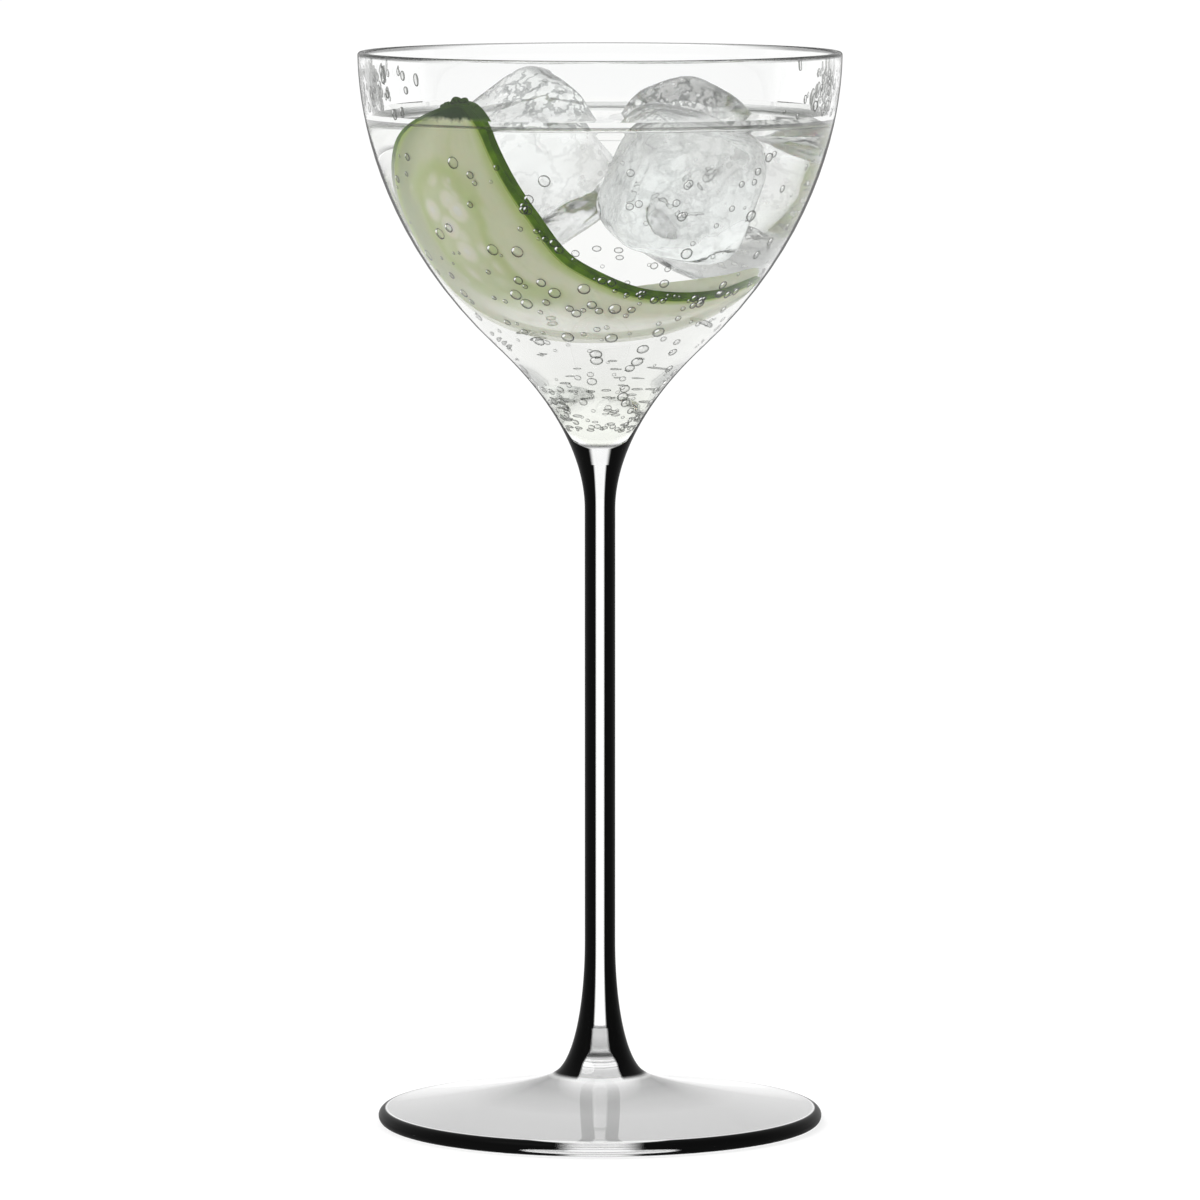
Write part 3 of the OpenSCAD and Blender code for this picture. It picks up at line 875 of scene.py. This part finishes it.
def flesh_finish():
    """Cucumber flesh: wet and pale, greener beside the peel, with seeds in its core."""
    look = settings("cucumber")
    paint = Paint("cucumber_flesh")
    along, across, _ = paint.axes(paint.uv())
    off = paint.math("ABSOLUTE", across - 0.5) * 2
    wander = paint.noise(1.0, 2.0, paint.scaled(paint.uv(), (7, 3, 1))) - 0.5
    core = (1 - paint.step(off + wander * 0.9, 0.24, 0.56)) \
        * paint.step(along + wander * 0.1, 0.28, 0.36) * (1 - paint.step(along, 0.48, 0.60))
    halo = core * (1 - core) * 4
    spread = paint.cells(paint.scaled(paint.uv(), (24, 7, 1)), 1.0, 0.9)
    seed = (1 - paint.step(spread, 0.16, 0.30)) * core
    jelly = paint.step(spread, 0.34, 0.60) * core
    fibre = paint.step(paint.noise(1.0, 2.0, paint.scaled(paint.uv(), (2.5, 9, 1))), 0.42, 0.72)
    grain = paint.noise(900.0, 3.0)
    # Painted shade: the lower edge of the ribbon's first half darkens to the dusk colour
    shaded = (1 - paint.step(across, 0.0, 0.45)) * (1 - paint.step(along, 0.42, 0.58))
    thin = paint.step(along, 0.43, 0.60) * (1 - paint.step(across, 0.25, 0.85))
    beside_peel = paint.step(off, 0.80, 1.0) * 0.75 * (1 - thin)
    tone = paint.layers(
        look.flesh, (paint.step(along, 0.34, 0.56) * 0.6, look.pale), (fibre * 0.3, look.halo),
        (shaded * 0.8, look.dusk), (thin * 0.85, look.pale), (core, look.core),
        (halo * 0.85, look.halo), (jelly * 0.6, look.halo), (seed, look.seed),
        (beside_peel, look.green), (grain * 0.15, look.dusk), (dry_tip(paint, grain), look.tip))
    return paint.done(paint.shader(
        colour=tone, rough=0.3, ior=FLESH_INDEX, scatter=FLESH_SCATTER, depth=FLESH_DEPTH,
        alpha=1 - thin * 0.72, normal=paint.bump(grain, 0.15, 0.2 * MM)))


def fold_finish():
    """The pale inner face of the ribbon, where its far end leans off the wall."""
    look = settings("cucumber")
    paint = Paint("cucumber_fold")
    tone = paint.blend(paint.noise(900.0, 3.0) * 0.6, look.pale, look.halo)
    return paint.done(paint.shader(colour=tone, rough=0.3, ior=FLESH_INDEX, alpha=0.62,
                                   scatter=FLESH_SCATTER, depth=FLESH_DEPTH))


def dry_tip(paint, grain):
    """1 over the drink, where the tip of the ribbon looks dark."""
    return paint.step(paint.height() + (grain - 0.5) * (1.5 * MM), *DRY_TIP)


def peel_finish(name, pared_edge):
    """Dark peel with lighter streaks, pale along the edge that was pared thin."""
    look = settings("cucumber")
    paint = Paint(name)
    streak = paint.noise(420.0, 3.0)
    tone = paint.blend(paint.step(streak, 0.35, 0.75), look.skin, look.light_skin)
    solid = 1.0
    if pared_edge:
        along, across, _ = paint.axes(paint.uv())
        inner = paint.step(across, 0.72, 1.0) * (1 - dry_tip(paint, streak))
        pared = paint.between(along, (0.50, 0.56), (0.78, 0.88))
        tone = paint.layers(tone, (inner, look.green), (pared * 0.9, look.pale))
        solid = 1 - pared * 0.7
    tone = paint.blend(dry_tip(paint, streak) * 0.8, tone, look.tip)
    return paint.done(paint.shader(colour=tone, rough=0.4, ior=PEEL_INDEX, alpha=solid,
                                   normal=paint.bump(streak, 0.3, 0.2 * MM)))


def bubble_finish(name, centre, outline, start, end):
    """A bubble or bead: clear in the middle, with a dark rim of painted shade and a small glowing
    spot that is a painted highlight.
    """
    paint = Paint(name)
    # Painted shade: the rim darkens as the surface turns from the eye
    rim = paint.step(paint.facing(), start, end) * (outline - centre) + centre
    turn, rise, _ = paint.axes(paint.uv())
    # Painted highlight: a small glowing spot, fixed in the ball's UV map
    highlight_turn, highlight_rise = (turn - HIGHLIGHT_TURN) / HIGHLIGHT_SIZE, (rise - HIGHLIGHT_RISE) / HIGHLIGHT_SIZE
    spot = 1 - paint.step(highlight_turn * highlight_turn + highlight_rise * highlight_rise, 0.6, 1.2)
    return paint.done(paint.shader(colour=settings("drink").ring, rough=0.1,
                                   alpha=paint.most(rim, spot), glow=paint.grey(spot),
                                   glow_power=0.9))


# Operators

class GLASS_OT_bowl(bpy.types.Operator):
    """Blows the bowl with its rolled rim"""
    bl_idname = "served.bowl"
    bl_label = "Bowl"

    def execute(self, context):
        shape = glass_outline()
        turn = shape.top - shape.lip
        lip_centre = (shape.rim - shape.lip, turn)
        inside = split_at(shape.inner_belly, turn)[1]
        outside = split_at(shape.belly, turn)[1]
        neck = split_at(shape.neck, shape.weld_top)[0]
        inside[0] = (lip_centre[0] - shape.lip, turn)
        outside[0] = (lip_centre[0] + shape.lip, turn)
        lip = [arc(lip_centre, shape.lip, math.pi, math.pi / 2),
               arc(lip_centre, shape.lip, math.pi / 2, 0)]
        spans = back_to_front([inside, shape.inner_tip]) + lip + [outside, neck]
        spans.append(straight(neck[3], (0, shape.weld_top)))
        piece = lathe("glass_bowl", spans)
        dress(piece, glass_finish("clear_glass", bowl_painted_outline),
              glass_finish("wet_glass", None, GLASS_INDEX / WATER_INDEX, wet_tint_and_painted_shade), seam_finish())
        for face in piece.data.polygons:
            middle = face.center
            out = face.normal.x * middle.x + face.normal.y * middle.y
            if middle.z < shape.weld_top + SEAM_REACH:
                face.material_index = 2
            elif middle.z < shape.climb and (out < 0 or face.normal.z > LEVEL_FACE):
                face.material_index = 1
        finish_piece(piece, "glass", "clear_glass", "bowl")
        return {"FINISHED"}


class GLASS_OT_stem(bpy.types.Operator):
    """Draws the stem between its two seams"""
    bl_idname = "served.stem"
    bl_label = "Stem"

    def execute(self, context):
        shape = glass_outline()
        taper = split_at(shape.neck, shape.weld_top)[1]
        flare = split_at(shape.flare, shape.weld_low)[0]
        spans = [straight((0, shape.weld_top), taper[0]), taper,
                 straight(taper[3], flare[0]), flare, straight(flare[3], (0, shape.weld_low))]
        piece = lathe("glass_stem", spans, steps=64)
        dress(piece, glass_finish("stem_glass", stem_painted_outline), seam_finish())
        for face in piece.data.polygons:
            face.material_index = 1 if abs(face.normal.z) > 0.99 else 0
        finish_piece(piece, "glass", "clear_glass", "stem")
        return {"FINISHED"}


class GLASS_OT_foot(bpy.types.Operator):
    """Presses the foot with its collar, edge and hollow underside"""
    bl_idname = "served.foot"
    bl_label = "Foot"

    def execute(self, context):
        shape = glass_outline()
        flare = split_at(shape.flare, shape.weld_low)[1]
        spans = [straight((0, shape.weld_low), flare[0]), flare, shape.apron]
        spans += shape.edge + [shape.ring, shape.hollow]
        piece = lathe("glass_foot", spans)
        dress(piece, glass_finish("foot_glass", foot_painted_outline, tint_and_shade=foot_painted_shade), seam_finish(),
              glass_finish("foot_rest", ior=REST_INDEX))
        for face in piece.data.polygons:
            if face.center.z > shape.weld_low - SEAM_REACH:
                face.material_index = 1
            elif face.normal.z < -LEVEL_FACE:
                face.material_index = 2
        finish_piece(piece, "glass", "clear_glass", "foot")
        return {"FINISHED"}


class GLASS_OT_drink(bpy.types.Operator):
    """Pours the drink, which climbs a little at the wall"""
    bl_idname = "served.drink"
    bl_label = "Drink"

    def execute(self, context):
        drink, shape = settings("drink"), glass_outline()
        film, climb = drink.film, drink.meniscus

        def drawn_in(span):
            return [(max(0.0, r - film), z) for r, z in span]

        wall = drawn_in(split_at(shape.inner_belly, shape.climb)[1])
        tip = drawn_in(shape.inner_tip)
        tip[2] = (tip[2][0], shape.bottom + film)
        tip[3] = (0, shape.bottom + film)
        quarter = math.pi / 4
        centre = (wall[0][0] - climb * math.cos(quarter), shape.level + climb)
        rise = arc(centre, climb, -math.pi / 2, -quarter)
        surface = straight((0, shape.level), rise[0])
        piece = lathe("poured_drink", [surface, rise, wall, tip], fineness=20)
        dress(piece, drink_finish(), seam_finish())
        for face in piece.data.polygons:
            face.material_index = 0 if face.normal.z > 0.3 else 1
        finish_piece(piece, "glass", "drink", "drink")
        return {"FINISHED"}


class GLASS_OT_ice(bpy.types.Operator):
    """Sets three melting cubes in the drink"""
    bl_idname = "served.ice"
    bl_label = "Ice"

    def execute(self, context):
        ice = settings("ice")
        finish = ice_finish()
        dents = bpy.data.textures.new("ice_dents", "CLOUDS")
        dents.noise_scale = DENT_SIZE
        dents.noise_depth = 1
        for side, turn in CUBE_TURNS.items():
            low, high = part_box("ice_" + side)
            nothing_selected()
            bpy.ops.mesh.primitive_cube_add(size=ice.edge)
            piece = named(bpy.context.object, side + "_ice")
            edit_whole_mesh()
            bpy.ops.mesh.bevel(offset=ice.rounding, segments=4, affect="EDGES")
            bpy.ops.mesh.select_all(action="SELECT")
            bpy.ops.mesh.subdivide(number_cuts=2)
            bpy.ops.object.mode_set(mode="OBJECT")
            apply_modifier(piece, "SUBSURF", levels=1, render_levels=1)
            for knot in piece.data.vertices:
                if knot.co.length > ice.reach:
                    knot.co *= ice.reach / knot.co.length
            piece.rotation_euler = [math.radians(a) for a in turn]
            piece.location = (low + high) / 2
            bpy.ops.object.transform_apply(location=True, rotation=True, scale=True)
            apply_modifier(piece, "DISPLACE", texture=dents, texture_coords="LOCAL",
                           strength=-ice.dents, mid_level=DENT_MIDDLE)
            apply_modifier(piece, "SMOOTH", factor=0.5, iterations=3)
            tidy_mesh()
            bpy.ops.object.shade_smooth()
            dress(piece, finish)
            finish_piece(piece, side + "_cube", "ice", "ice_" + side)
        return {"FINISHED"}


class GLASS_OT_cucumber(bpy.types.Operator):
    """Lays the ribbon of cucumber on the wall of the bowl, flesh and peel"""
    bl_idname = "served.cucumber"
    bl_label = "Cucumber"

    def execute(self, context):
        cucumber = settings("cucumber")
        ribbon = Ribbon(glass_outline(), settings("glass"), cucumber)
        inset = cucumber.gap + cucumber.thickness / 2

        def crowd(v):
            return (1 - math.cos(math.pi * v)) / 2

        def flesh_knot(u, w):
            here, half = ribbon.half(crowd(u), cucumber.peel + PEEL_GAP)
            return ribbon.point(here, half * (2 * w - 1), inset)

        flesh = slab("ribbon_flesh", 72, 16, flesh_knot, cucumber.thickness)
        dress(flesh, flesh_finish())
        finish_piece(flesh, "cucumber", "cucumber_flesh", "cucumber_flesh")

        def peel_knot(u, w):
            """Up one edge of the ribbon and back down the other, to where it began."""
            side = 1 if u <= 0.5 or u >= 1 else -1
            v = 0 if u >= 1 else crowd(u * 2 if u <= 0.5 else 2 - u * 2)
            outer_u, outer = ribbon.half(v, 0)
            inner_u, inner = ribbon.half(v, cucumber.peel)
            here = outer_u + (inner_u - outer_u) * w
            return ribbon.point(here, side * (outer + (inner - outer) * w), inset)

        peel = slab("ribbon_peel", 150, 4, peel_knot, cucumber.thickness, merge=1e-5)
        dress(peel, peel_finish("cucumber_peel", True))
        finish_piece(peel, "cucumber", "cucumber_peel", "cucumber_peel")

        def fold_knot(u, w):
            here = FOLD_START + (FOLD_END - FOLD_START) * u
            half = ribbon.half(here, 0)[1]
            rise = w * FOLD_RISE * math.sin(math.pi * u) ** FOLD_ROUNDING
            return ribbon.point(here, half - cucumber.peel + rise,
                                inset + FOLD_INSET + FOLD_LEAN * rise)

        fold = slab("ribbon_fold", 30, 6, fold_knot, FOLD_THICKNESS)
        dress(fold, fold_finish())
        finish_piece(fold, "cucumber", "cucumber_flesh")

        draw = random.Random(CRUMB_SEED)
        crumbs = []
        for _ in range(cucumber.crumbs):
            u, half = ribbon.half(draw.uniform(*CRUMB_ALONG), 0)
            spot = ribbon.point(u, draw.uniform(*CRUMB_ACROSS) * half, inset)
            spot.z += draw.uniform(*CRUMB_RISE) * MM
            lean = Vector((draw.uniform(-1, 1), draw.uniform(-1, 1), 1)).normalized()
            crumbs.append((spot, lean, draw.uniform(*CRUMB_RADII) * MM,
                           draw.uniform(*CRUMB_FLAT), 1.0))
        piece = ball_cluster("peel_crumbs", crumbs)
        dress(piece, peel_finish("peel_crumb", False))
        finish_piece(piece, "cucumber", "cucumber_peel")
        return {"FINISHED"}


class GLASS_OT_bubbles(bpy.types.Operator):
    """Raises the small bubbles that cling to the wall, more of them along the peel"""
    bl_idname = "served.bubbles"
    bl_label = "Bubbles"

    def execute(self, context):
        drink, shape = settings("drink"), glass_outline()
        ribbon = Ribbon(shape, settings("glass"), settings("cucumber"))
        draw = random.Random(BUBBLE_SEED)
        balls = []

        def cling(azimuth, z, radius):
            centre = shape.wall_point(azimuth, z, radius * BUBBLE_FLAT + drink.film)
            balls.append((centre, shape.wall_normal(azimuth, z), radius, BUBBLE_FLAT, 1.0))

        tall = shape.level - shape.bottom - BUBBLE_MARGIN
        for _ in range(drink.bubbles):
            azimuth = draw.uniform(-math.pi, math.pi)
            z = shape.bottom + BUBBLE_LOW + tall * draw.random() ** BUBBLE_CROWDING
            radius = draw.choice(BUBBLE_RADII) * MM
            if abs(azimuth) > math.pi / 2:
                radius = min(radius, BACK_RADIUS)
            cling(azimuth, z, min(radius, shape.inner_radius(z) / NARROW_SHARE))
        for _ in range(EDGE_BUBBLES):
            u = draw.uniform(*EDGE_ALONG)
            across = ribbon.half(u, 0)[1] + draw.uniform(*EDGE_ACROSS) * MM
            here = ribbon.point(u, across, 0)
            cling(math.atan2(here.x, -here.y), here.z, draw.choice(EDGE_RADII) * MM)
        piece = ball_cluster("bubbles", balls)
        dress(piece, bubble_finish("bubble_painted_rim_and_highlight", 0.03, 0.75, 0.16, 0.52))
        finish_piece(piece, "glass", "drink")
        return {"FINISHED"}


class GLASS_OT_beads(bpy.types.Operator):
    """Hangs flat beads of water on the wall over the drink, at its left and right"""
    bl_idname = "served.beads"
    bl_label = "Beads"

    def execute(self, context):
        drink, shape = settings("drink"), glass_outline()
        draw = random.Random(BEAD_SEED)
        beads = []
        for k in range(drink.beads):
            azimuth = math.pi * (k % 2 - 0.5) + draw.gauss(0, BEAD_SPREAD)
            z = draw.uniform(shape.climb + BEAD_LOW, shape.top - BEAD_HIGH)
            radius = draw.choice(BEAD_RADII) * MM
            centre = shape.wall_point(azimuth, z, BEAD_INSET)
            beads.append((centre, shape.wall_normal(azimuth, z), radius, BEAD_FLAT,
                          draw.choice(BEAD_LENGTHS)))
        piece = ball_cluster("wall_beads", beads)
        dress(piece, bubble_finish("bead_painted_rim_and_highlight", 0.08, 0.95, 0.18, 0.42))
        finish_piece(piece, "glass", "drink")
        return {"FINISHED"}


def mirrored_once(paint):
    """1 for light that some surface has mirrored on its way to the eye."""
    depth = paint.node("LightPath").outputs["Glossy Depth"]
    return paint.math("MINIMUM", Value(paint, depth), 1.0)


def mirrored_last(paint):
    """1 for light that the outside of a surface mirrors straight to the eye."""
    path = paint.node("LightPath").outputs
    return Value(paint, path["Is Glossy Ray"]) * (1 - Value(paint, path["Is Transmission Ray"]))


class GLASS_OT_stage(bpy.types.Operator):
    """Sets up the floor, the soft light and the camera"""
    bl_idname = "served.stage"
    bl_label = "Stage"

    def execute(self, context):
        self.lay_floor(context)
        self.hang_tent(context.scene)
        self.set_lamp(context)
        self.set_camera(context)
        return {"FINISHED"}

    def lay_floor(self, context):
        nothing_selected()
        bpy.ops.mesh.primitive_plane_add(size=FLOOR_SIZE, location=(0, 0, -FLOOR_DROP))
        floor = context.object
        floor.name = "floor"
        paint = Paint("paper_floor")
        plain = paint.shader(colour=settings("stage").paper, rough=0.9, gloss=0.0)
        near = 1 - paint.step(paint.axes(paint.place())[1], *FRONT_FLOOR)
        lit = FLOOR_GLOW * (1 - mirrored_once(paint) * near * (1 - DARK_SIDE))
        glow = paint.node("Emission", None, {"Color": (1, 1, 1), "Strength": lit}).outputs[0]
        dress(floor, paint.done(paint.mixed(FLOOR_GLOW_SHARE, plain, glow)))

    def hang_tent(self, scene):
        """A white world. What is seen in the glass comes from it, dimmer high up."""
        world = bpy.data.worlds.new("soft_tent")
        scene.world = world
        world.use_nodes = True
        tent = Paint("soft_tent", world.node_tree)
        path = tent.node("LightPath").outputs
        _, ahead, up = tent.axes(tent.node("TexCoord").outputs["Generated"])
        dim = 1 - tent.step(up, *HIGH_SKY) * HIGH_DIM
        near = 1 - tent.step(ahead, *FRONT_SKY)
        dim = dim * (1 - mirrored_last(tent) * near * (1 - DARK_SIDE))
        seen = Value(tent, path["Is Camera Ray"])
        clear = tent.most(Value(tent, path["Is Transmission Ray"]),
                          Value(tent, path["Is Glossy Ray"]))
        level = seen + (1 - seen) * (clear * dim + (1 - clear) * AMBIENT)
        back = tent.node("Background", None, {"Color": (1, 1, 1), "Strength": level})
        tent.node("OutputWorld", None, {"Surface": back.outputs[0]})

    def set_lamp(self, context):
        bpy.ops.object.light_add(type="AREA", location=LAMP_PLACE)
        lamp = context.object
        lamp.name = "soft_lamp"
        put(lamp.data, shape="DISK", size=LAMP_SIZE, energy=LAMP_POWER)
        lamp.visible_transmission = False
        aim = Vector(LAMP_TARGET) - lamp.location
        lamp.rotation_euler = aim.to_track_quat("-Z", "Y").to_euler()

    def set_camera(self, context):
        stage, scene = settings("stage"), context.scene
        bpy.ops.object.camera_add(location=(0, -stage.distance, stage.eye),
                                  rotation=(math.pi / 2 - stage.pitch, 0, 0))
        scene.camera = context.object
        put(scene.camera.data, lens=stage.lens, sensor_width=SENSOR_WIDTH,
            clip_start=CLIP_START, clip_end=CLIP_END)
        scene.view_settings.view_transform = "Standard"
        put(scene.cycles, max_bounces=32, transmission_bounces=24, glossy_bounces=8,
            transparent_max_bounces=32)


class GLASS_PT_served(bpy.types.Panel):
    """Lists the steps that make the glass"""
    bl_label = "Nick and Nora Glass"
    bl_idname = "GLASS_PT_served"
    bl_space_type = "VIEW_3D"
    bl_region_type = "UI"
    bl_category = "Glass"

    def draw(self, context):
        for step in STEPS:
            self.layout.operator(step.bl_idname)
        for name in SETTINGS:
            group = settings(name)
            box = self.layout.box()
            for key in group.__annotations__:
                box.prop(group, key)


SETTINGS = {"glass": GlassSettings, "drink": DrinkSettings, "ice": IceSettings,
            "cucumber": CucumberSettings, "stage": StageSettings}
STEPS = (GLASS_OT_bowl, GLASS_OT_stem, GLASS_OT_foot, GLASS_OT_drink, GLASS_OT_ice,
         GLASS_OT_cucumber, GLASS_OT_bubbles, GLASS_OT_beads, GLASS_OT_stage)


def register():
    for name, group in SETTINGS.items():
        bpy.utils.register_class(group)
        setattr(bpy.types.Scene, "served_" + name, bpy.props.PointerProperty(type=group))
    for step in STEPS + (GLASS_PT_served,):
        bpy.utils.register_class(step)


def unregister():
    for step in reversed(STEPS + (GLASS_PT_served,)):
        bpy.utils.unregister_class(step)
    for name, group in SETTINGS.items():
        delattr(bpy.types.Scene, "served_" + name)
        bpy.utils.unregister_class(group)


def main():
    register()
    bpy.ops.served.bowl()
    bpy.ops.served.stem()
    bpy.ops.served.foot()
    bpy.ops.served.drink()
    bpy.ops.served.ice()
    bpy.ops.served.cucumber()
    bpy.ops.served.bubbles()
    bpy.ops.served.beads()
    bpy.ops.served.stage()


if __name__ == "__main__":
    main()
